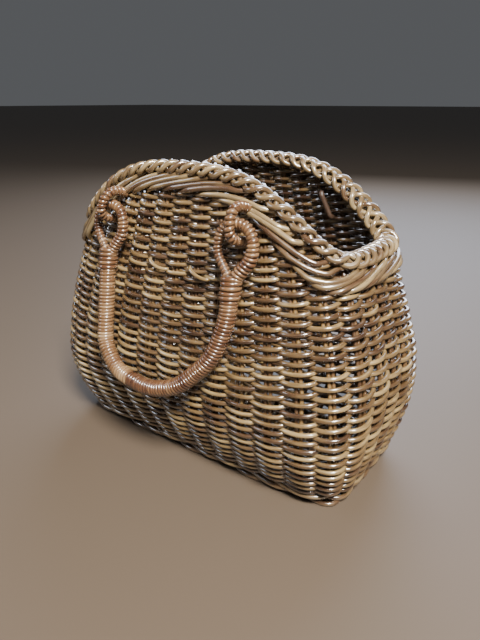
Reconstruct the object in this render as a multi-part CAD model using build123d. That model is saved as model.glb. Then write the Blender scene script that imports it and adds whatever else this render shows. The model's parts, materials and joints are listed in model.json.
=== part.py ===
from build123d import *
import math
import os

# Woven wicker handbag basket with two swinging wrapped handles.
# Millimetres. X runs along the basket, Y across it and Z up. The origin is on the
# floor under the middle of the basket. The front is the -Y side.

# Outer shape of the woven wall
base_length = 288.0
base_width = 119.0
belly_length = 330.0
belly_width = 180.0
mouth_length = 230.0
mouth_width = 114.0
end_belly_height = 101.0
side_belly_height = 92.0
rim_low = 196.0
rim_high = 254.0
base_squareness = 8.0
belly_squareness = 4.0
mouth_squareness = 3.8
end_bulge_power = 1.97
side_bulge_power = 2.08
end_taper_power = 1.21
side_taper_power = 1.28
hump_half_length = 137.0
hump_crown_power = 3.0
hump_flank_power = 1.64

# Rods and the layers of the wall
weaver_diameter = 3.2
stake_diameter = 2.6
layer_clearance = 0.2
stake_count = 36
stake_pair_gap = 0.6
stake_ease = 0.2
wale_height = 12.0
wale_proud = 0.8
belly_band_start = 72.0
shoulder_band_start = 134.0
hump_band_drop = 4.0
hump_band_start = rim_low - hump_band_drop

# Border
plait_height = 16.0
plait_proud = 4.0
plait_inside = 1.6
roll_height = 12.0
roll_proud = 2.4

# Base panel
base_stick_diameter = 5.0
base_stick_count = 7
base_stick_spacing = 12.0

# Handles and the staples that hold them
hinge_height = 222.0
hinge_standoff = 11.4
handle_clearance = 1.0
handle_span = 122.0
handle_drop = 141.0
handle_bottom_shift = -14.0
handle_bottom_sag = 3.0
left_leg_splay = 2.0
left_leg_lift = 24.0
left_bend_run = 18.0
sag_run = 6.0
rise_run = 38.0
rise_lift = 8.0
right_bend_inset = 9.0
right_bend_lift = 40.0
right_leg_lift = 72.0
left_leg_radius = 26.0
left_bend_radius = 30.0
bottom_radius = 60.0
shaft_core_diameter = 10.0
shaft_wrap_thickness = 2.0
eye_width = 30.0
eye_drop = 38.0
eye_tail_length = 12.0
eye_rod_diameter = 6.0
eye_wrap_thickness = 1.4
eye_neck_gap = 0.6
eye_shoulder_rise = 15.0
eye_corner_inset = 0.5
eye_shoulder_radius = 14.0
eye_neck_radius = 12.0
binding_lead = 2.0
binding_length = 18.0
binding_wall = 1.6
wrap_clearance = 0.1
staple_rod_diameter = 4.6
staple_wrap_thickness = 1.7
staple_rise = 24.0
left_staple_tilt = 20.0
right_staple_tilt = 0.0
staple_play = 1.2
staple_wrap_start = 0.8
staple_inside_clearance = 0.8
staple_bend_radius = 10.5
staple_inner_bend_radius = 3.5

section_points = 48
stake_sections = 14
rim_points = 33
rim_overrun = 45.0
below_floor = 10.0
top_level = rim_high + plait_height + 6.0
outline_levels = [0, 0.05, 0.12, 0.2, 0.3, 0.4, 0.5, 0.6, 0.7, 0.8, 0.9, 1.0]
reach = 2 * belly_length

skin = weaver_diameter
stake_depth = skin + layer_clearance + stake_diameter / 2
stake_foot_height = wale_height + layer_clearance
inner_face = skin + 2 * layer_clearance + stake_diameter
wall_thickness = inner_face + skin
plait_half = plait_height / 2
wall_top_drop = plait_half + layer_clearance
roll_bottom_drop = wall_top_drop + roll_height


def swell(z, low, middle, high, middle_z, low_power, high_power):
    """Half width at height z: widest at middle_z, drawn in below and above it."""
    if z < middle_z:
        return middle - (middle - low) * (1 - z / middle_z) ** low_power
    rise = (z - middle_z) / (rim_high - middle_z)
    return middle - (middle - high) * rise ** high_power


def half_length(z):
    return swell(z, base_length / 2, belly_length / 2, mouth_length / 2,
                 end_belly_height, end_bulge_power, end_taper_power)


def half_width(z):
    return swell(z, base_width / 2, belly_width / 2, mouth_width / 2,
                 side_belly_height, side_bulge_power, side_taper_power)


def squareness(z):
    """Exponent of the rounded-rectangle outline; higher has tighter corners."""
    middle_z = (end_belly_height + side_belly_height) / 2
    if z < middle_z:
        return base_squareness + (belly_squareness - base_squareness) * z / middle_z
    share = (z - middle_z) / (rim_high - middle_z)
    return belly_squareness + (mouth_squareness - belly_squareness) * share


def lean_factor(profile, z):
    """Horizontal run of one millimetre of wall thickness at height z."""
    slope = (profile(z + 0.5) - profile(z - 0.5)) if z > 0.5 else profile(1) - profile(0)
    return math.hypot(1, slope)


def wall_point(angle, z, depth):
    """Point of the wall at an outline angle, depth below its outer face."""
    along = half_length(z) - depth * lean_factor(half_length, z)
    across = half_width(z) - depth * lean_factor(half_width, z)
    power = squareness(z)
    c, s = math.cos(angle), math.sin(angle)
    scale = (abs(c) ** power + abs(s) ** power) ** (-1 / power)
    return (along * scale * c, across * scale * s, z)


def rim_height(x):
    """Height of the border's centre line: a long hump with low ends."""
    share = min(1.0, abs(x) / hump_half_length)
    return rim_low + (rim_high - rim_low) * (1 - share ** hump_crown_power) ** hump_flank_power


def rim_slope(x):
    return (rim_height(x + 0.5) - rim_height(x - 0.5))


def rim_offset_point(x, drop):
    """Point drop below the border's centre line, measured square to it."""
    slope = rim_slope(x)
    length = math.hypot(1, slope)
    return (x + drop * slope / length, rim_height(x) - drop / length)


def outline(z, depth):
    """Face of the wall's outline at height z."""
    turns = [2 * math.pi * i / section_points for i in range(section_points)]
    points = [wall_point(turn, z, depth) for turn in turns]
    return make_face(Spline(*points, periodic=True))


def filled_shape(depth):
    """The basket's outer shape, drawn in by depth and filled to the top level."""
    return loft([outline(top_level * share, depth) for share in outline_levels])


def under_rim(upper_drop, lower_drop):
    """Block between two curves that run parallel to the rim."""
    half = hump_half_length + rim_overrun
    stations = [-half + 2 * half * i / (rim_points - 1) for i in range(rim_points)]
    upper = [rim_offset_point(x, upper_drop) for x in stations]
    lower = [rim_offset_point(x, lower_drop) for x in stations]
    top = Spline(*upper)
    bottom = Spline(*lower)
    right = Line(upper[-1], lower[-1])
    left = Line(lower[0], upper[0])
    face = make_face(Plane.XZ * Curve([top, right, bottom, left]))
    return extrude(face, amount=belly_width, both=True)


def below_rim(drop):
    """Block from under the floor up to a curve drop below the rim's centre line."""
    half = hump_half_length + rim_overrun
    stations = [-half + 2 * half * i / (rim_points - 1) for i in range(rim_points)]
    upper = [rim_offset_point(x, drop) for x in stations]
    top = Spline(*upper)
    sides = Polyline(upper[-1], (half, -below_floor), (-half, -below_floor), upper[0])
    face = make_face(Plane.XZ * Curve([top, sides]))
    return extrude(face, amount=belly_width, both=True)


def level_band(low, high):
    return Pos(0, 0, (low + high) / 2) * Box(reach, reach, high - low)


def half_space(side):
    """Everything on the +Y side, or on the -Y side."""
    return Pos(0, side * reach / 2, 0) * Box(reach, reach, 2 * reach)


def stake_angles():
    """Outline angles of the stakes, evenly spaced round the belly."""
    steps = 1440  # fine enough to find a stake's place to a hundredth of a millimetre
    z = side_belly_height
    marks = [2 * math.pi * i / steps for i in range(steps + 1)]
    points = [wall_point(mark, z, stake_depth) for mark in marks]
    run = [0.0]
    for start, end in zip(points, points[1:]):
        run.append(run[-1] + math.dist(start, end))
    spacing = run[-1] / stake_count
    angles = []
    index = 0
    for stake in range(stake_count):
        target = stake * spacing
        while run[index + 1] < target:
            index += 1
        share = (target - run[index]) / (run[index + 1] - run[index])
        angles.append(marks[index] + share * (marks[index + 1] - marks[index]))
    return angles


def stake_top(angle):
    """Height at which a stake meets the underside of the plait."""
    z = rim_low
    for step in range(20):
        x = wall_point(angle, z, stake_depth)[0]
        z = rim_height(x) - (wall_top_drop + stake_diameter / 2) * math.hypot(1, rim_slope(x))
    return z


def stake_pair(angle):
    """Two round rods side by side, following the wall from the floor to the rim."""
    side_step = (stake_diameter + stake_pair_gap) / 2
    top = stake_top(angle)
    small_turn = 0.01
    here = Vector(*wall_point(angle, side_belly_height, stake_depth))
    beside = Vector(*wall_point(angle + small_turn, side_belly_height, stake_depth))
    turn_per_mm = small_turn / (beside - here).length
    rods = []
    for side in (-1, 1):
        sections = []
        for i in range(stake_sections):
            z = stake_foot_height + (top - stake_foot_height) * i / (stake_sections - 1)
            centre = wall_point(angle + side * side_step * turn_per_mm, z, stake_depth)
            sections.append(Pos(*centre) * Circle(stake_diameter / 2 - stake_ease))
        rods.append(loft(sections))
    return rods


def stakes_between(low_degrees, high_degrees):
    rods = []
    for angle in stake_angles():
        degrees = math.degrees(angle) % 360
        if low_degrees <= degrees < high_degrees:
            rods += stake_pair(angle)
    return rods


def staple_x():
    """The staples pass through the wall midway between two stakes."""
    places = [wall_point(angle, hinge_height, stake_depth) for angle in stake_angles()]
    front = sorted(point[0] for point in places if point[1] < 0)
    gaps = [(left + right) / 2 for left, right in zip(front, front[1:])]
    return min((gap for gap in gaps if gap > 0), key=lambda gap: abs(gap - handle_span / 2))


def wall_y(x, z):
    """Distance of the wall's outer face from the middle plane at x and z."""
    share = min(1.0, abs(x) / half_length(z))
    power = squareness(z)
    return half_width(z) * (1 - share ** power) ** (1 / power)


def hinge_reach():
    """Distance of the hinge line from the middle plane."""
    return wall_y(staple_x(), hinge_height) + hinge_standoff


def handle_lean():
    """Least lean from upright that keeps the hanging handle off the belly."""
    shaft_radius = shaft_core_diameter / 2 + shaft_wrap_thickness
    lean = 0.0
    for step in range(int(eye_drop + eye_tail_length), int(handle_drop)):
        needed = wall_y(0, hinge_height - step) + shaft_radius + handle_clearance
        lean = max(lean, math.atan2(needed - hinge_reach(), step))
    return lean


def handle_plane():
    """Plane of the hanging front handle: local Y runs down it from the hinge."""
    lean = handle_lean()
    return Plane(origin=(0, -hinge_reach(), hinge_height), x_dir=(1, 0, 0),
                 z_dir=(0, math.cos(lean), -math.sin(lean)))


def round_rod(path, diameter):
    """Round rod along a path."""
    start = Plane(origin=path @ 0, z_dir=path % 0)
    return sweep(start * Circle(diameter / 2), path=path)


def shaft_path():
    """Centre line of the handle's shaft, from one binding to the other."""
    half = staple_x()
    top = eye_drop + eye_tail_length + wrap_clearance
    shift = handle_bottom_shift
    points = [(-half, top),
              (left_leg_splay - half, handle_drop - left_leg_lift),
              (left_bend_run - half, handle_drop - handle_bottom_sag),
              (shift + sag_run, handle_drop + handle_bottom_sag),
              (shift + rise_run, handle_drop - rise_lift),
              (half - right_bend_inset, handle_drop - right_bend_lift),
              (half, handle_drop - right_leg_lift),
              (half, top)]
    return FilletPolyline(*points, radius=[left_leg_radius, left_bend_radius] + [bottom_radius] * 4)


def eye_path(centre):
    """Centre line of one eye's rod, from tail to tail over the top."""
    neck = (eye_rod_diameter + eye_neck_gap) / 2
    side = eye_width / 2
    tail = eye_drop + eye_tail_length
    shoulder = eye_drop - eye_shoulder_rise
    points = [(-neck, tail), (-neck, eye_drop), (-side, shoulder), (-side, 0),
              (side, 0), (side, shoulder), (neck, eye_drop), (neck, tail)]
    placed = [(centre + x, y) for x, y in points]
    bends = [eye_neck_radius, eye_shoulder_radius, side - eye_corner_inset]
    return FilletPolyline(*placed, radius=bends + bends[::-1])


def eye_rods():
    return [round_rod(eye_path(side * staple_x()), eye_rod_diameter) for side in (-1, 1)]


def handle_core():
    return round_rod(shaft_path(), shaft_core_diameter)


def grip_wrap():
    """Wrapped skin of the shaft, between the two bindings."""
    outer = round_rod(shaft_path(), shaft_core_diameter + 2 * shaft_wrap_thickness)
    bore = round_rod(shaft_path(), shaft_core_diameter + 2 * wrap_clearance)
    start = eye_drop - binding_lead + binding_length + layer_clearance
    keep = Pos(0, start + reach / 2, 0) * Box(reach, reach, reach)
    return (outer - bore) & keep


def eye_wraps():
    """Wrapped skin of the eyes, above the bindings."""
    end = eye_drop - binding_lead - layer_clearance
    keep = Pos(0, end - reach / 2, 0) * Box(reach, reach, reach)
    wraps = []
    for side in (-1, 1):
        path = eye_path(side * staple_x())
        outer = round_rod(path, eye_rod_diameter + 2 * eye_wrap_thickness)
        bore = round_rod(path, eye_rod_diameter + 2 * wrap_clearance)
        wraps.append((outer - bore) & keep)
    return wraps


def bindings():
    """Bound necks that hold each eye's tails on the end of the shaft."""
    start = eye_drop - binding_lead
    tail_half = eye_rod_diameter + eye_neck_gap / 2 + wrap_clearance
    outer = max(tail_half, shaft_core_diameter / 2 + wrap_clearance) + binding_wall
    necks = []
    for side in (-1, 1):
        centre = side * staple_x()
        place = Pos(centre, start + binding_length / 2, 0) * Rot(90, 0, 0)
        neck = place * Cylinder(outer, binding_length)
        path = eye_path(centre)
        neck -= round_rod(path, eye_rod_diameter + 2 * wrap_clearance)
        neck -= round_rod(shaft_path(), shaft_core_diameter + 2 * wrap_clearance)
        necks.append(neck)
    return necks


def staple_plane(x):
    """Plane across the wall at the hinge: local X runs outward, local Y up the wall."""
    z = hinge_height
    slope = wall_y(x, z + 0.5) - wall_y(x, z - 0.5)
    outward = Vector(0, -1, -slope).normalized()
    tilt = left_staple_tilt if x < 0 else right_staple_tilt
    upright = Plane(origin=(x, -hinge_reach(), hinge_height), x_dir=outward, z_dir=(1, 0, 0))
    return Plane(upright.location * Rot(-tilt, 0, 0))


def staple_path(x):
    """Closed loop of the staple: round the eye's bar, through the wall and inside it."""
    plane = staple_plane(x)
    surface = hinge_standoff * plane.x_dir.Y
    bar = eye_rod_diameter / 2 + eye_wrap_thickness
    outer = bar + staple_play + staple_rod_diameter / 2 + staple_wrap_thickness
    inner = surface - wall_thickness - staple_inside_clearance - staple_rod_diameter / 2
    half = staple_rise / 2
    points = [(inner, half), (outer, half), (outer, -half), (inner, -half)]
    bends = [staple_inner_bend_radius, staple_bend_radius]
    return plane * FilletPolyline(*points, radius=bends + bends[::-1], close=True)


def staple_core(x):
    return round_rod(staple_path(x), staple_rod_diameter)


def staple_wrap(x):
    """Wrapped skin of the staple outside the wall."""
    plane = staple_plane(x)
    path = staple_path(x)
    outer = round_rod(path, staple_rod_diameter + 2 * staple_wrap_thickness)
    bore = round_rod(path, staple_rod_diameter + 2 * wrap_clearance)
    start = hinge_standoff * plane.x_dir.Y + staple_wrap_start
    keep = plane * (Pos(start + reach / 2, 0, 0) * Box(reach, reach, reach))
    return (outer - bore) & keep


def rear(part):
    """The same piece on the rear side."""
    return Rot(0, 0, 180) * part


def write(name, *solids):
    found = []
    for shape in solids:
        found += shape.solids()
    export_step(Compound(children=found), f"parts/{name}.step")
    print(name, len(found), round(sum(solid.volume for solid in found)))


def build_wall():
    """Woven bands, border and base, with holes for the staples."""
    outer = filled_shape(0)
    skin_back = filled_shape(skin)
    inner_front = filled_shape(inner_face)
    hollow = filled_shape(wall_thickness)
    outer_skin = (outer - skin_back) & below_rim(roll_bottom_drop + layer_clearance)
    inner_skin = (inner_front - hollow) & below_rim(wall_top_drop)
    for x in (-staple_x(), staple_x()):
        hole = round_rod(staple_path(x), staple_rod_diameter + 2 * layer_clearance)
        outer_skin = outer_skin - hole - rear(hole)
        inner_skin = inner_skin - hole - rear(hole)
    gap = layer_clearance / 2
    low = level_band(wale_height + gap, belly_band_start - gap)
    low_inside = level_band(0, belly_band_start - gap)
    middle = level_band(belly_band_start + gap, shoulder_band_start - gap)
    high = level_band(shoulder_band_start + gap, hump_band_start - gap)
    crown = level_band(hump_band_start + gap, top_level)
    write("lower_weave", outer_skin & low, inner_skin & low_inside)
    write("belly_weave", outer_skin & middle, inner_skin & middle)
    write("shoulder_weave", outer_skin & high, inner_skin & high)
    front, back = half_space(-1), half_space(1)
    write("front_hump_weave", outer_skin & crown & front, inner_skin & crown & front)
    write("rear_hump_weave", outer_skin & crown & back, inner_skin & crown & back)
    wale = filled_shape(-wale_proud) - skin_back
    write("base_wale", wale & level_band(0, wale_height - gap))
    roll = (filled_shape(-roll_proud) - skin_back) & under_rim(wall_top_drop, roll_bottom_drop)
    wound_diameter = staple_rod_diameter + 2 * staple_wrap_thickness
    for x in (-staple_x(), staple_x()):
        hole = round_rod(staple_path(x), wound_diameter + 2 * layer_clearance)
        roll = roll - hole - rear(hole)
    write("roll_border", roll)
    plait = filled_shape(-plait_proud) - filled_shape(wall_thickness + plait_inside)
    write("plait_border", plait & under_rim(-plait_half, plait_half))
    panel = filled_shape(wall_thickness + layer_clearance)
    lower_top = weaver_diameter
    upper_start = lower_top + base_stick_diameter + 2 * layer_clearance
    write("base_weave", panel & level_band(0, lower_top),
          panel & level_band(upper_start, upper_start + weaver_diameter))
    build_base_sticks(lower_top + layer_clearance)


def build_base_sticks(low):
    """Lengthwise sticks between the two faces of the base panel."""
    sticks = []
    radius = base_stick_diameter / 2
    side = half_width(low) - (wall_thickness + layer_clearance) * lean_factor(half_width, low)
    end = half_length(low) - (wall_thickness + layer_clearance) * lean_factor(half_length, low)
    for i in range(base_stick_count):
        y = (i - (base_stick_count - 1) / 2) * base_stick_spacing
        power = squareness(low)
        length = 2 * end * (1 - ((abs(y) + radius) / side) ** power) ** (1 / power)
        sticks.append(Pos(0, y, low + radius) * Rot(0, 90, 0) * Cylinder(radius, length))
    write("base_sticks", *sticks)


def build_stakes():
    write("right_stakes", *stakes_between(315, 360), *stakes_between(0, 45))
    write("rear_stakes", *stakes_between(45, 135))
    write("left_stakes", *stakes_between(135, 225))
    write("front_stakes", *stakes_between(225, 315))


def build_handles():
    plane = handle_plane()
    pieces = {"handle_core": [handle_core()], "handle_grip_wrap": [grip_wrap()],
              "handle_eye_rods": eye_rods(), "handle_eye_wraps": eye_wraps(),
              "handle_bindings": bindings()}
    for name, solids in pieces.items():
        placed = [plane * solid for solid in solids]
        write(f"front_{name}", *placed)
        write(f"rear_{name}", *[rear(solid) for solid in placed])


def build_staples():
    for side, x in (("left", -staple_x()), ("right", staple_x())):
        core, wrap = staple_core(x), staple_wrap(x)
        write(f"front_{side}_staple_core", core)
        write(f"front_{side}_staple_wrap", wrap)
        other = "right" if side == "left" else "left"
        write(f"rear_{other}_staple_core", rear(core))
        write(f"rear_{other}_staple_wrap", rear(wrap))


os.makedirs("parts", exist_ok=True)
print("hinge reach", round(hinge_reach(), 3), "lean", round(math.degrees(handle_lean()), 3))
build_handles()
build_staples()
build_stakes()
build_wall()
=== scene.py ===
import json
import math
import random

import bmesh
import bpy
import numpy as np
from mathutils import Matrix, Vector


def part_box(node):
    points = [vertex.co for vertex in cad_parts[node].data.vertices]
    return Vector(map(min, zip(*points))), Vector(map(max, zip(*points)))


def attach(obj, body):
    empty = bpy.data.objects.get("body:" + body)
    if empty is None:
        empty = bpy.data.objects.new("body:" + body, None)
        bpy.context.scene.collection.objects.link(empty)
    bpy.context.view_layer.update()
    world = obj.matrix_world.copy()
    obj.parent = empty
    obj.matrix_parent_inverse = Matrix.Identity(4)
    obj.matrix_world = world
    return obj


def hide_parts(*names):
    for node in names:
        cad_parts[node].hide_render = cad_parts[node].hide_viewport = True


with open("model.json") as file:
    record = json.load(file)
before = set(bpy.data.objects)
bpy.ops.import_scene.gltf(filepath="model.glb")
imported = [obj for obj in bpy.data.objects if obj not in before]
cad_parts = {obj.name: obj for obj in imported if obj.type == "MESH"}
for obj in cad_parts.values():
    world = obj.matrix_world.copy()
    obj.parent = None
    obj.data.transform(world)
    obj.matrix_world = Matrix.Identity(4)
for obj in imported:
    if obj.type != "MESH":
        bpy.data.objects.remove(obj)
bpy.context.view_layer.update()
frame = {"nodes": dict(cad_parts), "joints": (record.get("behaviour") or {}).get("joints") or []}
mm = 0.001
rng = random.Random(7)


def boxMm(node):
    low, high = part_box(node)
    return np.array(low) / mm, np.array(high) / mm


def hexColour(code):
    # sRGB hex to the linear values that sockets want
    parts = [int(code[i:i + 2], 16) / 255 for i in (1, 3, 5)]
    linear = [p / 12.92 if p <= 0.04045 else ((p + 0.055) / 1.055) ** 2.4 for p in parts]
    return (*linear, 1.0)


def addNode(tree, kind, inputs=None, **settings):
    node = tree.nodes.new(kind)
    for name, value in settings.items():
        setattr(node, name, value)
    for socket, value in (inputs or {}).items():
        if isinstance(value, bpy.types.NodeSocket):
            tree.links.new(value, node.inputs[socket])
        else:
            node.inputs[socket].default_value = value
    return node


def setRamp(node, stops):
    ramp = node.color_ramp
    while len(ramp.elements) < len(stops):
        ramp.elements.new(1.0)
    for element, (place, colour) in zip(ramp.elements, stops):
        element.position = place
        element.color = hexColour(colour)


def newMaterial(name):
    material = bpy.data.materials.new(name)
    material.use_nodes = True
    tree = material.node_tree
    tree.nodes.clear()
    shader = addNode(tree, "ShaderNodeBsdfPrincipled")
    output = addNode(tree, "ShaderNodeOutputMaterial")
    tree.links.new(shader.outputs["BSDF"], output.inputs["Surface"])
    return material, tree, shader


print("stage: wall shape")
lowBelly, highBelly = boxMm("belly_weave")
plaitTop = boxMm("plait_border")[1][2]
wall = {
    "bellyLength": highBelly[0] - lowBelly[0], "bellyWidth": highBelly[1] - lowBelly[1],
    "baseLength": 288.0, "baseWidth": 119.0, "mouthLength": 230.0, "mouthWidth": 114.0,
    "endBelly": 101.0, "sideBelly": 92.0,       # heights of the widest places
    "endBulge": 1.97, "endTaper": 1.21, "sideBulge": 2.08, "sideTaper": 1.28,
    "rimLow": 196.0, "rimHigh": plaitTop - 8.0,
    "squareBase": 8.0, "squareBelly": 4.0, "squareMouth": 3.8,
    "humpHalf": 137.0, "humpCrown": 3.0, "humpFlank": 1.64,
    "stakeCount": 36, "stakeDepth": 4.7,        # pairs of stakes, and how deep their middles lie
}


def swell(z, low, middle, high, middleZ, lowPower, highPower):
    # half of a width at height z: widest at middleZ, drawn in below and above it
    below = middle - (middle - low) * np.clip(1 - z / middleZ, 0, 1) ** lowPower
    rise = np.clip((z - middleZ) / (wall["rimHigh"] - middleZ), 0, None)
    above = middle - (middle - high) * rise ** highPower
    return np.where(z < middleZ, below, above)


def halfLength(z):
    return swell(z, wall["baseLength"] / 2, wall["bellyLength"] / 2, wall["mouthLength"] / 2,
                 wall["endBelly"], wall["endBulge"], wall["endTaper"])


def halfWidth(z):
    return swell(z, wall["baseWidth"] / 2, wall["bellyWidth"] / 2, wall["mouthWidth"] / 2,
                 wall["sideBelly"], wall["sideBulge"], wall["sideTaper"])


def squareness(z):
    # power of the rounded rectangle that the wall follows; higher has tighter corners
    middleZ = (wall["endBelly"] + wall["sideBelly"]) / 2
    below = wall["squareBase"] + (wall["squareBelly"] - wall["squareBase"]) * z / middleZ
    share = (z - middleZ) / (wall["rimHigh"] - middleZ)
    above = wall["squareBelly"] + (wall["squareMouth"] - wall["squareBelly"]) * share
    return np.where(z < middleZ, below, above)


def lean(profile, z):
    # sideways run of one millimetre of depth into the wall
    return np.hypot(1, profile(z + 0.5) - profile(z - 0.5))


def wallPoint(angle, z, depth):
    # point of the wall at an outline angle, depth below its outer face, in mm
    angle, z, depth = np.broadcast_arrays(np.asarray(angle, float), z, depth)
    along = halfLength(z) - depth * lean(halfLength, z)
    across = halfWidth(z) - depth * lean(halfWidth, z)
    power = squareness(z)
    c, s = np.cos(angle), np.sin(angle)
    scale = (np.abs(c) ** power + np.abs(s) ** power) ** (-1 / power)
    return np.stack([along * scale * c, across * scale * s, z], axis=-1)


def rimHeight(x):
    share = np.minimum(1.0, np.abs(x) / wall["humpHalf"])
    hump = (1 - share ** wall["humpCrown"]) ** wall["humpFlank"]
    return wall["rimLow"] + (wall["rimHigh"] - wall["rimLow"]) * hump


def rimSlope(x):
    return rimHeight(x + 0.5) - rimHeight(x - 0.5)


# the stakes stand evenly spaced along the belly line
beltAngles = np.linspace(0, 2 * math.pi, 2881)
beltPoints = wallPoint(beltAngles, wall["sideBelly"], wall["stakeDepth"])
beltRun = np.concatenate([[0], np.cumsum(np.linalg.norm(np.diff(beltPoints, axis=0), axis=1))])
stakeSpacing = beltRun[-1] / wall["stakeCount"]
beltPlaces = beltRun / stakeSpacing


def angleAt(place):
    # outline angle at a place counted in stakes round the basket
    return np.interp(np.asarray(place, float) % wall["stakeCount"], beltPlaces, beltAngles)


def underRim(place, drop, depth):
    # point of the wall that lies drop below the rim's line, measured square to it
    place, drop, depth = np.broadcast_arrays(np.asarray(place, float), drop, depth)
    angle = angleAt(place)
    z = np.full(place.shape, wall["rimLow"])
    for step in range(40):  # closes in on the height
        x = wallPoint(angle, z, depth)[..., 0]
        z = 0.5 * z + 0.5 * (rimHeight(x) - drop * np.hypot(1, rimSlope(x)))
    return wallPoint(angle, z, depth)


def steady(place, seed, size, period=wall["stakeCount"]):
    # smooth closed wave of random look round the basket
    local = random.Random(seed)
    total = np.zeros_like(np.asarray(place, float))
    for turns in (2, 3, 5, 8, 13):
        total = total + math.sqrt(1 / turns) * np.sin(2 * math.pi * turns * place / period
                                                      + local.uniform(0, 6.28))
    return size * total * 0.6


print("stage: materials")
caneTones = {  # dark skin to pale rubbed willow
    "weave": [(0.0, "#281a10"), (0.25, "#463321"), (0.5, "#5e4a2e"), (0.75, "#78623e"), (1.0, "#968056")],
    "border": [(0.0, "#342317"), (0.3, "#533e2a"), (0.6, "#6d5a3d"), (1.0, "#95815c")],
    "stake": [(0.0, "#432e1c"), (0.5, "#644a2c"), (1.0, "#856a40")],
    "handle": [(0.0, "#361e14"), (0.35, "#583a24"), (0.7, "#7a5c3d"), (1.0, "#a08460")],
}


def varnishedWillow(name, tones, grainMm=0.45, rough=0.28, coat=1.0):
    # round willow and cane rods under old varnish: each rod its own brown, fibres
    # grainMm apart along it, darker patches where the skin stayed on, wet-looking gloss
    material, tree, shader = newMaterial(name)
    tone = addNode(tree, "ShaderNodeAttribute", attribute_name="tone")
    grain = addNode(tree, "ShaderNodeAttribute", attribute_name="grain")
    fibreMap = addNode(tree, "ShaderNodeMapping", {"Vector": grain.outputs["Vector"],
                                                   "Scale": (0.08, 1 / grainMm, 1 / grainMm)})
    fibres = addNode(tree, "ShaderNodeTexNoise", {"Vector": fibreMap.outputs["Vector"],
                                                  "Scale": 1.0, "Detail": 3.0, "Roughness": 0.6})
    patchMap = addNode(tree, "ShaderNodeMapping", {"Vector": grain.outputs["Vector"],
                                                   "Scale": (0.06, 0.3, 0.3)})
    patches = addNode(tree, "ShaderNodeTexNoise", {"Vector": patchMap.outputs["Vector"],
                                                   "Scale": 1.0, "Detail": 4.0, "Roughness": 0.55})
    shifted = addNode(tree, "ShaderNodeMapRange", {"Value": patches.outputs["Fac"], "From Min": 0.3,
                                                   "From Max": 0.7, "To Min": -0.28, "To Max": 0.28})
    place = addNode(tree, "ShaderNodeMath", {0: tone.outputs["Fac"], 1: shifted.outputs["Result"]},
                    operation="ADD", use_clamp=True)
    ramp = addNode(tree, "ShaderNodeValToRGB", {"Fac": place.outputs["Value"]})
    setRamp(ramp, tones)
    fibreFac = addNode(tree, "ShaderNodeMapRange", {"Value": fibres.outputs["Fac"], "From Min": 0.35,
                                                    "From Max": 0.75, "To Min": 0.0, "To Max": 0.5})
    darker = addNode(tree, "ShaderNodeMix", {"Factor": fibreFac.outputs["Result"],
                                             "A": ramp.outputs["Color"], "B": hexColour("#3d281b")},
                     data_type="RGBA", blend_type="MIX")
    tree.links.new(darker.outputs["Result"], shader.inputs["Base Color"])
    roughness = addNode(tree, "ShaderNodeMapRange", {"Value": patches.outputs["Fac"], "From Min": 0.3,
                                                     "From Max": 0.7, "To Min": rough - 0.07,
                                                     "To Max": rough + 0.12})
    tree.links.new(roughness.outputs["Result"], shader.inputs["Roughness"])
    bump = addNode(tree, "ShaderNodeBump", {"Height": fibres.outputs["Fac"], "Strength": 0.5,
                                            "Distance": 0.12 * mm})
    tree.links.new(bump.outputs["Normal"], shader.inputs["Normal"])
    shader.inputs["Coat Weight"].default_value = coat
    shader.inputs["Coat Roughness"].default_value = 0.1
    shader.inputs["Coat IOR"].default_value = 1.7
    shader.inputs["IOR"].default_value = 1.5
    return material


def bareRod(name, dark, pale):
    # unvarnished willow inside the windings and the floor: dull, with long grain along X
    material, tree, shader = newMaterial(name)
    coords = addNode(tree, "ShaderNodeTexCoord")
    stretch = addNode(tree, "ShaderNodeMapping", {"Vector": coords.outputs["Object"],
                                                  "Scale": (90.0, 1400.0, 1400.0)})
    noise = addNode(tree, "ShaderNodeTexNoise", {"Vector": stretch.outputs["Vector"], "Scale": 1.0,
                                                 "Detail": 4.0})
    ramp = addNode(tree, "ShaderNodeValToRGB", {"Fac": noise.outputs["Fac"]})
    setRamp(ramp, [(0.3, dark), (0.7, pale)])
    bump = addNode(tree, "ShaderNodeBump", {"Height": noise.outputs["Fac"], "Strength": 0.4,
                                            "Distance": 0.15 * mm})
    tree.links.new(ramp.outputs["Color"], shader.inputs["Base Color"])
    tree.links.new(bump.outputs["Normal"], shader.inputs["Normal"])
    shader.inputs["Roughness"].default_value = 0.5
    return material


weaveWillow = varnishedWillow("varnished_willow_weave", caneTones["weave"])
borderWillow = varnishedWillow("varnished_willow_border", caneTones["border"])
stakeWillow = varnishedWillow("varnished_willow_stakes", caneTones["stake"], rough=0.42, coat=0.2)
woundCane = varnishedWillow("varnished_cane_winding", caneTones["handle"], rough=0.3, coat=0.6)
coreRod = bareRod("bare_core_rod", "#2a1d14", "#453224")
baseRod = bareRod("bare_base_stick", "#41301f", "#6d543a")


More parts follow.
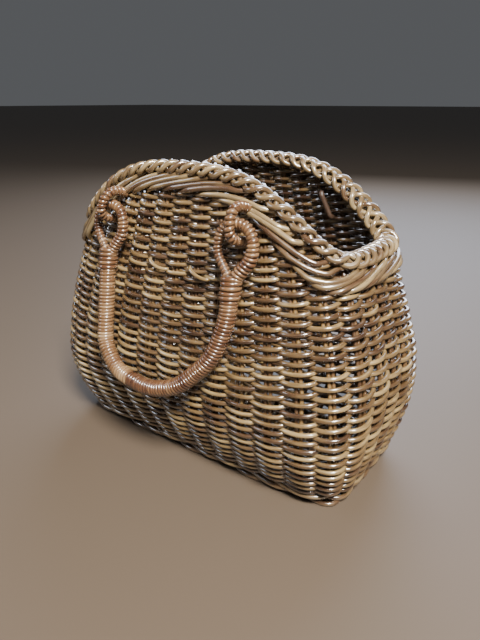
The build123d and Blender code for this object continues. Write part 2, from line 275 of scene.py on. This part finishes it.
def makeRods(name, rods, material, body="basket", resolution=2):
    # one piece from many round rods; each rod is a dict of line, radius, tone
    curve = bpy.data.curves.new(name, "CURVE")
    curve.dimensions = "3D"
    curve.bevel_depth = mm
    curve.bevel_resolution = resolution
    for rod in rods:
        line = np.asarray(rod["line"], float)
        spline = curve.splines.new("POLY")
        spline.points.add(len(line) - 1)
        spline.points.foreach_set("co", np.c_[line * mm, np.ones(len(line))].ravel())
        spline.points.foreach_set("radius", np.broadcast_to(rod["radius"], len(line)).astype(float))
        spline.use_cyclic_u = rod.get("closed", False)
    holder = bpy.data.objects.new(name, curve)
    bpy.context.scene.collection.objects.link(holder)
    depsgraph = bpy.context.evaluated_depsgraph_get()
    mesh = bpy.data.meshes.new_from_object(holder.evaluated_get(depsgraph))
    bpy.data.objects.remove(holder)
    counts = [len(rod["line"]) for rod in rods]
    sides = len(mesh.vertices) // sum(counts)
    assert sides * sum(counts) == len(mesh.vertices), name
    tones = [np.repeat(np.broadcast_to(rod["tone"], n), sides) for rod, n in zip(rods, counts)]
    grain = []
    turn = np.linspace(0, 2 * math.pi, sides, endpoint=False)
    for index, rod in enumerate(rods):
        line = np.asarray(rod["line"], float)
        run = np.concatenate([[0], np.cumsum(np.linalg.norm(np.diff(line, axis=0), axis=1))])
        radius = np.broadcast_to(rod["radius"], len(line))
        ring = np.empty((len(line), sides, 3))
        ring[..., 0] = run[:, None] + index * 37.0  # each rod has grain of its own
        ring[..., 1] = radius[:, None] * np.cos(turn) + index * 11.0
        ring[..., 2] = radius[:, None] * np.sin(turn)
        grain.append(ring.reshape(-1, 3))
    mesh.attributes.new("tone", "FLOAT", "POINT").data.foreach_set(
        "value", np.concatenate(tones).astype(np.float32))
    mesh.attributes.new("grain", "FLOAT_VECTOR", "POINT").data.foreach_set(
        "vector", np.concatenate(grain).astype(np.float32).ravel())
    bm = bmesh.new()
    bm.from_mesh(mesh)
    for face in bm.faces:
        face.smooth = True
    bmesh.ops.holes_fill(bm, edges=[edge for edge in bm.edges if edge.is_boundary], sides=0)
    bmesh.ops.recalc_face_normals(bm, faces=bm.faces)
    bm.to_mesh(mesh)
    bm.free()
    mesh.materials.clear()
    mesh.materials.append(material)
    mesh.name = name
    piece = bpy.data.objects.new(name, mesh)
    bpy.context.scene.collection.objects.link(piece)
    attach(piece, body)
    triangles = sum(len(face.vertices) - 2 for face in mesh.polygons)
    print("  ", name, len(rods), "rods", triangles, "triangles")
    return piece


print("stage: stakes")
stakes = {"radius": 1.6, "gap": 0.4, "foot": 3.0, "topDrop": 3.0, "points": 16}


def stakePair(stake):
    rods = []
    for side in (-1, 1):
        place = stake + side * (stakes["radius"] + stakes["gap"] / 2) / stakeSpacing
        top = underRim(place, stakes["topDrop"], wall["stakeDepth"])[2]
        z = np.linspace(stakes["foot"], top, stakes["points"])
        wander = steady(z, stake * 2 + side, 0.004, 300.0)
        line = wallPoint(angleAt(place) + wander, z, wall["stakeDepth"])
        radius = stakes["radius"] * rng.uniform(0.92, 1.04) * np.linspace(1.03, 0.94, len(z))
        rods.append({"line": line, "radius": radius, "tone": rng.uniform(0.1, 0.9)})
    return rods


def quarterOf(stake):
    # 0 right, 1 rear, 2 left, 3 front
    return int(((math.degrees(angleAt(stake)) + 45) % 360) // 90)


for quarter, node in enumerate(("right_stakes", "rear_stakes", "left_stakes", "front_stakes")):
    rods = []
    for stake in range(wall["stakeCount"]):
        if quarterOf(stake) == quarter:
            rods += stakePair(stake)
    piece = makeRods("willow_" + node, rods, stakeWillow)
    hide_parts(node)


print("stage: weave")
weave = {"radius": 1.72, "pitch": 3.4, "bottom": 13.6, "crest": 3.1, "flat": 0.75, "stepsPerStake": 10,
         "underBorder": 4.5, "wander": 0.9, "jitter": 0.22, "bow": 18.0, "bowFull": 110.0, "endSwell": 0.15,
         "paintedInsideShade": 0.45}


def weaveLevels():
    levels = []
    z = weave["bottom"]
    while z < wall["rimHigh"]:
        levels.append(z)
        slope = float(halfWidth(z + 0.5) - halfWidth(z - 0.5))
        z += weave["pitch"] / math.hypot(1, slope)
    return levels


def climb(places):
    # 0 at the middle of each long side, 1 at the two ends
    return (1 + np.cos(4 * math.pi * places / wall["stakeCount"])) / 2


def rowHeight(level, places):
    # the rows climb towards both ends of the basket, more so higher up
    return level + weave["bow"] * min(1.0, level / weave["bowFull"]) * climb(places)


def weaverLine(row, level, places):
    # in front of one pair of stakes and behind the next
    parity = np.cos(math.pi * (places + row))
    wave = np.sign(parity) * np.abs(parity) ** weave["flat"]
    depth = wall["stakeDepth"] - weave["crest"] * wave + steady(places, row, 0.12)
    lift = steady(places, 900, weave["wander"]) * math.sin(level / 40)
    lift = lift + steady(places, 300 + row, weave["jitter"])
    return wallPoint(angleAt(places), rowHeight(level, places) + lift, depth)


def belowBorder(level, places):
    z = rowHeight(level, places)
    x = wallPoint(angleAt(places), z, wall["stakeDepth"])[:, 0]
    return z < rimHeight(x) - weave["underBorder"] * np.hypot(1, rimSlope(x))


def coveredRuns(row, level):
    # the stretches of a row that lie below the border, as places counted in stakes
    steps = weave["stepsPerStake"]
    count = wall["stakeCount"] * steps
    start = rng.randrange(0, wall["stakeCount"]) // 2 * 2 + 1 - row % 2
    places = start + np.arange(count + 1) / steps
    free = belowBorder(level, places)
    if free.all():
        middle = count // 2 + rng.randrange(-6, 6) * 2 * steps
        return [places[:middle + 1], places[middle:]]
    # start the count at a covered place so that no stretch is cut in two
    places = places[int(np.argmin(free))] + np.arange(count + 1) / steps
    runs = [[]]
    for place, isFree in zip(places, belowBorder(level, places)):
        if isFree:
            runs[-1].append(place)
        elif runs[-1]:
            runs.append([])
    return [np.array(run) for run in runs if len(run) > steps // 2]


ringBands = ("lower_weave", "belly_weave", "shoulder_weave")
bandTops = [(boxMm(node)[1][2], node) for node in ringBands]
bands = {node: [] for node in ringBands + ("front_hump_weave", "rear_hump_weave")}
for row, level in enumerate(weaveLevels()):
    for places in coveredRuns(row, level):
        line = weaverLine(row, level, places)
        radius = weave["radius"] * rng.uniform(0.92, 1.06) * (1 + steady(places, 500 + row, 0.03))
        radius = radius * (1 + weave["endSwell"] * climb(places))
        # where a weaver passes behind the stakes, on the inside of the basket, its tone is lowered as
        # painted shade
        behind = np.clip(-np.cos(math.pi * (places + row)), 0, 1)
        tone = rng.uniform(0.2, 0.95) + steady(places, 700 + row, 0.12) - weave["paintedInsideShade"] * behind
        tone = np.clip(tone, 0, 1)
        rod = {"line": line, "radius": radius, "tone": tone}
        name = next((band for top, band in bandTops if level < top), None)
        if name is None:
            name = "front_hump_weave" if line[len(line) // 2][1] < 0 else "rear_hump_weave"
        bands[name].append(rod)
# two tails of weavers that were left lying over the rows, each from a place and a height
tails = {"starts": ((25.75, 182.5), (27.75, 181.8)), "run": 0.97, "drop": 6.0, "radius": 1.5,
         "rooted": 2.5, "proud": 1.4, "tone": 0.9}
for start, top in tails["starts"]:
    share = np.linspace(0, 1, 14)
    depth = tails["rooted"] - (tails["rooted"] + tails["proud"]) * np.sqrt(np.sin(math.pi * share))
    z = top - tails["drop"] * (1 - (1 - share) ** 2)
    line = wallPoint(angleAt(start + tails["run"] * share), z, depth)
    bands["shoulder_weave"].append({"line": line, "radius": tails["radius"], "tone": tails["tone"]})
for node, rods in bands.items():
    piece = makeRods("willow_" + node, rods, weaveWillow)
    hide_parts(node)


print("stage: base")
wale = {"radius": 2.0, "heights": (2.2, 5.9, 9.6), "turns": 12, "crest": 2.9, "depth": 3.6}
rods = []
places = np.arange(wall["stakeCount"] * 8) / 8
for strand, height in enumerate(wale["heights"]):
    swing = np.cos(2 * math.pi * (places * wale["turns"] / wall["stakeCount"] - strand / 3))
    depth = wale["depth"] - wale["crest"] * swing
    line = wallPoint(angleAt(places), np.full(len(places), height), depth)
    rods.append({"line": line, "radius": wale["radius"], "tone": 0.35 + 0.15 * strand, "closed": True})
waleRods = makeRods("willow_base_wale", rods, borderWillow)
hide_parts("base_wale")

floorWeave = {"radius": 1.6, "pitch": 3.5, "swing": 4.05, "margin": 1.5,
              "stickCount": 7, "stickDiameter": 5.0}
lowBase, highBase = boxMm("base_weave")
lowStick, highStick = boxMm("base_sticks")
stickLevel = (lowStick[2] + highStick[2]) / 2
stickSpan = highStick[1] - lowStick[1] - floorWeave["stickDiameter"]
stickPitch = stickSpan / (floorWeave["stickCount"] - 1)
rods = []
rowCount = int((highBase[0] - lowBase[0] - 4 * floorWeave["margin"]) / floorWeave["pitch"])
for row in range(rowCount):
    x = (row - (rowCount - 1) / 2) * floorWeave["pitch"]
    half = highBase[1] * (1 - (abs(x) / highBase[0]) ** wall["squareBase"]) ** (1 / wall["squareBase"])
    half -= floorWeave["margin"]
    y = np.linspace(-half, half, 57)
    swing = np.cos(math.pi * (y / stickPitch + row))
    z = stickLevel + floorWeave["swing"] * swing
    line = np.c_[np.full(len(y), x), y, z]
    rods.append({"line": line, "radius": floorWeave["radius"], "tone": rng.uniform(0.1, 0.9)})
floorRods = makeRods("willow_base_weave", rods, weaveWillow, resolution=1)
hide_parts("base_weave")
sticks = frame["nodes"]["base_sticks"].data
sticks.materials.clear()
sticks.materials.append(baseRod)


print("stage: border")
rimPlaces = np.linspace(0, wall["stakeCount"], 1057)  # fine enough for even runs along the rim
rimLine = underRim(rimPlaces, 1.0, wall["stakeDepth"])
rimRun = np.concatenate([[0], np.cumsum(np.linalg.norm(np.diff(rimLine, axis=0), axis=1))])
rimLength = rimRun[-1]


def rimFrame(run, drop=1.0):
    # centre, outward and upward directions of the border at a run along the rim
    place = np.interp(run % rimLength, rimRun, rimPlaces)
    step = 0.05
    centre = underRim(place, drop, wall["stakeDepth"])
    tangent = underRim(place + step, drop, wall["stakeDepth"])
    tangent -= underRim(place - step, drop, wall["stakeDepth"])
    tangent /= np.linalg.norm(tangent, axis=1)[:, None]
    outward = wallPoint(angleAt(place), centre[:, 2], 0.0) - wallPoint(angleAt(place), centre[:, 2], 8.0)
    outward -= tangent * np.sum(outward * tangent, axis=1)[:, None]
    outward /= np.linalg.norm(outward, axis=1)[:, None]
    upward = np.cross(outward, tangent)
    upward *= np.sign(upward[:, 2])[:, None]
    return centre, outward, upward


plait = {"strands": 5, "periods": 14, "radius": 2.15, "arch": 6.0, "reach": 9.4, "over": -2.2,
         "pointsPerPeriod": 46, "drop": 3.8}
rods = []
pointCount = plait["periods"] * plait["pointsPerPeriod"]
for strand in range(plait["strands"]):
    phase = 2 * math.pi * plait["periods"] * np.arange(pointCount) / pointCount
    wander = steady(phase, 41 + strand, 0.5, 2 * math.pi * plait["periods"])
    run = rimLength * np.arange(pointCount) / pointCount + wander
    centre, outward, upward = rimFrame(run, plait["drop"])
    swing = phase + strand * 2 * math.pi / plait["strands"]
    tilt = plait["reach"] / plait["arch"] * np.sin(swing)
    lift = plait["arch"] + plait["over"] * np.sin(2 * swing)
    line = centre + outward * (lift * np.sin(tilt))[:, None] + upward * (lift * np.cos(tilt))[:, None]
    tone = 0.6 + steady(phase, 51 + strand, 0.25, 2 * math.pi * plait["periods"])
    rods.append({"line": line, "radius": plait["radius"], "tone": np.clip(tone, 0, 1), "closed": True})
plaitRods = makeRods("willow_plait_border", rods, borderWillow)
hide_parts("plait_border")

# each roll rod comes out of the wall low, lies over the last ones and tucks in under the plait
roll = {"strands": 46, "length": 72.0, "radius": 2.1, "lowDrop": 20.0, "highDrop": 4.0, "rooted": 6.0,
        "proud": 1.6, "points": 30, "outBy": 0.28, "tuckFrom": 0.78, "tuckDepth": 5.0}
rods = []
for strand in range(roll["strands"]):
    start = rimLength * (strand + rng.uniform(-0.12, 0.12)) / roll["strands"]
    length = roll["length"] * rng.uniform(0.9, 1.1)
    share = np.linspace(0, 1, roll["points"])
    place = np.interp((start + length * share) % rimLength, rimRun, rimPlaces)
    drop = roll["lowDrop"] + (roll["highDrop"] - roll["lowDrop"]) * share ** 0.9 + rng.uniform(-0.6, 0.6)
    out = np.sin(np.clip(share / roll["outBy"], 0, 1) * math.pi / 2)
    tuck = np.clip(share - roll["tuckFrom"], 0, None) / (1 - roll["tuckFrom"])
    depth = roll["rooted"] - (roll["rooted"] + roll["proud"]) * out + roll["tuckDepth"] * tuck
    radius = roll["radius"] * rng.uniform(0.9, 1.08)
    rods.append({"line": underRim(place, drop, depth), "radius": radius, "tone": rng.uniform(0.25, 1.0)})
rollRods = makeRods("willow_roll_border", rods, borderWillow)
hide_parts("roll_border")


print("stage: handles")
# the handles hang from the middles of the staples; span is half the distance between them
handle = {"span": sum(boxMm("front_right_staple_core"))[0] / 2, "drop": 141.0, "shift": -14.0,
          "eyeWidth": 30.0, "eyeDrop": 38.0, "tail": 12.0, "shaftRadius": 7.0, "caneRadius": 1.6,
          "pitch": 2.85, "eyeRadius": 4.4, "eyeCane": 1.6, "eyePitch": 3.1,
          "neckRadius": 8.2, "neckLength": 18.0, "neckCane": 1.8, "neckPitch": 3.5}


def roundedRoute(points, radii, step=1.0):
    # flat route with round corners, sampled evenly
    corners = [np.array(p, float) for p in points]
    parts = [corners[0][None]]
    for before, corner, after, radius in zip(corners, corners[1:], corners[2:], radii):
        back = (before - corner) / np.linalg.norm(before - corner)
        ahead = (after - corner) / np.linalg.norm(after - corner)
        half = math.acos(np.clip(np.dot(back, ahead), -1, 1)) / 2
        reach = radius / math.tan(half)
        middle = (back + ahead) / np.linalg.norm(back + ahead)
        centre = corner + middle * radius / math.sin(half)
        start, end = corner + back * reach - centre, corner + ahead * reach - centre
        sweep = math.atan2(start[0] * end[1] - start[1] * end[0], np.dot(start, end))
        turns = np.linspace(0, sweep, max(3, int(abs(sweep) * radius / step)))
        spin = np.stack([np.cos(turns), np.sin(turns)], axis=1)
        across = start[0] * spin[:, 0] - start[1] * spin[:, 1]
        along = start[0] * spin[:, 1] + start[1] * spin[:, 0]
        parts.append(centre + np.c_[across, along])
    parts.append(corners[-1][None])
    route = np.concatenate(parts)
    run = np.concatenate([[0], np.cumsum(np.linalg.norm(np.diff(route, axis=0), axis=1))])
    places = np.linspace(0, run[-1], int(run[-1] / step) + 1)
    return np.c_[np.interp(places, run, route[:, 0]), np.interp(places, run, route[:, 1])]


def windOn(route, outer, cane, pitch, seed, start=0.0, end=None, perTurn=14):
    # helix of cane round a flat route; returns x, y, off-plane
    local = random.Random(seed)
    run = np.concatenate([[0], np.cumsum(np.linalg.norm(np.diff(route, axis=0), axis=1))])
    end = run[-1] if end is None else end
    turns = (end - start) / pitch
    count = int(turns * perTurn)
    share = np.arange(count) / (count - 1)
    along = start + (end - start) * share + steady(share * wall["stakeCount"], seed, 0.3)
    tangent = np.gradient(route, axis=0)
    tangent /= np.linalg.norm(tangent, axis=1)[:, None]
    at = np.c_[np.interp(along, run, route[:, 0]), np.interp(along, run, route[:, 1])]
    way = np.c_[np.interp(along, run, tangent[:, 0]), np.interp(along, run, tangent[:, 1])]
    side = np.c_[-way[:, 1], way[:, 0]]
    if np.ndim(outer):
        outer = np.interp(along, np.linspace(start, end, len(outer)), outer)
    radius = outer - cane
    spin = 2 * math.pi * turns * share + local.uniform(0, 6)
    line = at + side * (radius * np.cos(spin))[:, None]
    return np.c_[line, radius * np.sin(spin)]


def handleLean():
    # the least lean that keeps a hanging handle off the belly
    hinge = frame["joints"][0]["pos_m"]
    reach, height = abs(hinge[1]) / mm, hinge[2] / mm
    best = 0.0
    for step in range(int(handle["eyeDrop"] + handle["tail"]), int(handle["drop"])):
        need = float(halfWidth(height - step)) + handle["shaftRadius"] + 1.0
        best = max(best, math.atan2(need - reach, step))
    return best, reach, height


leanAngle, hingeReach, hingeHeight = handleLean()
print("   lean", round(math.degrees(leanAngle), 3), "reach", round(hingeReach, 3))


def onHandle(line, front):
    # handle plane to the basket's own axes: local y runs down from the hinge
    x, down, off = line[:, 0], line[:, 1], line[:, 2]
    y = -hingeReach - down * math.sin(leanAngle) + off * math.cos(leanAngle)
    z = hingeHeight - down * math.cos(leanAngle) - off * math.sin(leanAngle)
    placed = np.c_[x, y, z]
    return placed if front else placed * (-1, -1, 1)


def shaftRoute():
    half, shift, drop = handle["span"], handle["shift"], handle["drop"]
    top = handle["eyeDrop"] + handle["tail"]
    points = [(-half, top), (2 - half, drop - 24), (18 - half, drop - 3), (shift + 6, drop + 3),
              (shift + 38, drop - 8), (half - 9, drop - 40), (half, drop - 72), (half, top)]
    return roundedRoute(points, [26, 30, 60, 60, 60, 60])


def eyeRoute(centre):
    neck, side, drop = 3.3, handle["eyeWidth"] / 2, handle["eyeDrop"]
    points = [(-neck, drop + 4), (-neck, drop), (-side, drop - 15), (-side, 0), (side, 0),
              (side, drop - 15), (neck, drop), (neck, drop + 4)]
    return roundedRoute([(centre + x, y) for x, y in points], [12, 14, side - 0.5, side - 0.5, 14, 12], 0.7)


for side in ("front", "rear"):
    isFront = side == "front"
    body = side + "_handle"
    route = shaftRoute()
    length = np.linalg.norm(np.diff(route, axis=0), axis=1).sum()
    split = length * 0.42
    rods = []
    for part, (low, high) in enumerate(((4.0, split), (split + 1.5, length - 4.0))):
        line = windOn(
            route, handle["shaftRadius"], handle["caneRadius"], handle["pitch"], 11 + part, low, high)
        # the two canes differ in tone; the left one is the lighter as painted light on the lit left leg,
        # and the right one the darker as painted shade
        tone = np.clip(0.7 - 0.35 * part + steady(np.arange(len(line)), 80 + part, 0.2, len(line)), 0, 1)
        rods.append({"line": onHandle(line, isFront), "radius": handle["caneRadius"], "tone": tone})
    grip = makeRods(side + "_handle_winding", rods, woundCane, body)
    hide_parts(side + "_handle_grip_wrap")
    rods = []
    necks = []
    for index, centre in enumerate((-handle["span"], handle["span"])):
        thin, thick = (3.7, 4.9) if index == 0 else (3.6, 5.6)
        outer = [thin, thin, 4.2, 4.4, 4.4, thick, thick]
        line = windOn(eyeRoute(centre), outer, handle["eyeCane"], handle["eyePitch"], 31 + index)
        tone = np.clip(0.5 + steady(np.arange(len(line)), 90 + index, 0.2, len(line)), 0, 1)
        rods.append({"line": onHandle(line, isFront), "radius": handle["eyeCane"], "tone": tone})
        start = handle["eyeDrop"] - 2
        neck = np.c_[np.full(30, centre), np.linspace(start, start + handle["neckLength"], 30)]
        cane = handle["neckCane"]
        line = windOn(neck, handle["neckRadius"], cane, handle["neckPitch"], 51 + index, perTurn=18)
        necks.append({"line": onHandle(line, isFront), "radius": cane, "tone": 0.45})
    eyes = makeRods(side + "_handle_eye_winding", rods, woundCane, body)
    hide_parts(side + "_handle_eye_wraps")
    neckRods = makeRods(side + "_handle_neck_winding", necks, woundCane, body)
    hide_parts(side + "_handle_bindings")
    for node in ("core", "eye_rods"):
        mesh = frame["nodes"][side + "_handle_" + node].data
        mesh.materials.clear()
        mesh.materials.append(coreRod)


print("stage: staples")
staple = {"rise": 24.0, "standoff": 11.4, "radius": 4.0, "cane": 1.85, "pitch": 3.6,
          "play": 1.2, "bend": 10.5, "inset": 2.0, "tilt": {"left": 20.0, "right": 0.0}}


def stapleLine(x, side, seed):
    # winding of the loop at x; the loop stands square on the sloping wall and tips by its tilt
    def faceY(z):
        power = float(squareness(z))
        return float(halfWidth(z)) * (1 - (abs(x) / float(halfLength(z))) ** power) ** (1 / power)

    slope = faceY(hingeHeight + 0.5) - faceY(hingeHeight - 0.5)
    outward = np.array([0, -1, -slope])
    outward /= np.linalg.norm(outward)
    across = np.array([1.0, 0, 0])
    up = np.cross(across, outward)
    tilt = math.radians(-staple["tilt"][side])
    up = up * math.cos(tilt) + np.cross(outward, up) * math.sin(tilt)
    across = np.cross(outward, up)
    surface = staple["standoff"] * outward[1]
    outer = handle["eyeRadius"] + staple["play"] + staple["radius"]
    half = staple["rise"] / 2
    inner = surface - staple["inset"]
    corners = [(inner, half), (outer, half), (outer, -half), (inner, -half)]
    route = roundedRoute(corners, [staple["bend"]] * 2, 0.6)
    line = windOn(route, staple["radius"], staple["cane"], staple["pitch"], seed)
    centre = np.array([x, -hingeReach, hingeHeight])
    return centre + outward * line[:, :1] + up * line[:, 1:2] + across * line[:, 2:3]


for side in ("front", "rear"):
    for index, (hand, x) in enumerate((("left", -handle["span"]), ("right", handle["span"]))):
        line = stapleLine(x, hand, 61 + index)
        if side == "rear":
            line = line * (-1, -1, 1)
            name = "rear_" + ("right" if hand == "left" else "left")
        else:
            name = "front_" + hand
        rods = [{"line": line, "radius": staple["cane"], "tone": 0.5}]
        piece = makeRods(name + "_staple_winding", rods, woundCane)
        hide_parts(name + "_staple_wrap")
        mesh = frame["nodes"][name + "_staple_core"].data
        mesh.materials.clear()
        mesh.materials.append(coreRod)


print("stage: floor, light and camera")
bm = bmesh.new()
bmesh.ops.create_grid(bm, x_segments=1, y_segments=1, size=30.0)
floorMesh = bpy.data.meshes.new("floor")
bm.to_mesh(floorMesh)
bm.free()
floor = bpy.data.objects.new("floor", floorMesh)
bpy.context.scene.collection.objects.link(floor)
floorMaterial, tree, shader = newMaterial("studio_floor")
shader.inputs["Base Color"].default_value = hexColour("#514538")
shader.inputs["Roughness"].default_value = 0.6
floorMesh.materials.append(floorMaterial)


def addLight(name, place, aim, size, power, colour):
    data = bpy.data.lights.new(name, "AREA")
    data.size = size
    data.energy = power
    data.color = hexColour(colour)[:3]
    light = bpy.data.objects.new(name, data)
    light.location = place
    direction = np.array(aim) - np.array(place)
    yaw = math.atan2(direction[1], direction[0]) - math.pi / 2
    pitch = math.atan2(direction[2], math.hypot(direction[0], direction[1]))
    light.rotation_euler = (math.pi / 2 + pitch, 0, yaw)
    bpy.context.scene.collection.objects.link(light)


middle = (0, 0, 0.12)
addLight("key", (0.85, -0.65, 1.35), middle, 0.4, 112.0, "#fffaf4")
addLight("window", (-0.5, 1.4, 1.0), middle, 1.4, 50.0, "#dce9ff")
addLight("fill", (-1.3, -0.8, 1.0), middle, 0.6, 10.0, "#e8f0ff")
world = bpy.data.worlds.new("studio")
world.use_nodes = True
world.node_tree.nodes["Background"].inputs["Color"].default_value = hexColour("#e8ecf2")
world.node_tree.nodes["Background"].inputs["Strength"].default_value = 0.12
bpy.context.scene.world = world

# turn and down are in degrees, lens in millimetres
view = {"place": (290.96, -378.15, 301.12), "turn": 36.54, "down": 21.75, "lens": 30.99}
cameraData = bpy.data.cameras.new("camera")
cameraData.lens = view["lens"]
cameraData.sensor_width = 36.0
cameraData.clip_start = 0.01
camera = bpy.data.objects.new("camera", cameraData)
camera.location = [v * mm for v in view["place"]]
camera.rotation_euler = (math.radians(90 - view["down"]), 0, math.radians(view["turn"]))
bpy.context.scene.collection.objects.link(camera)
bpy.context.scene.camera = camera
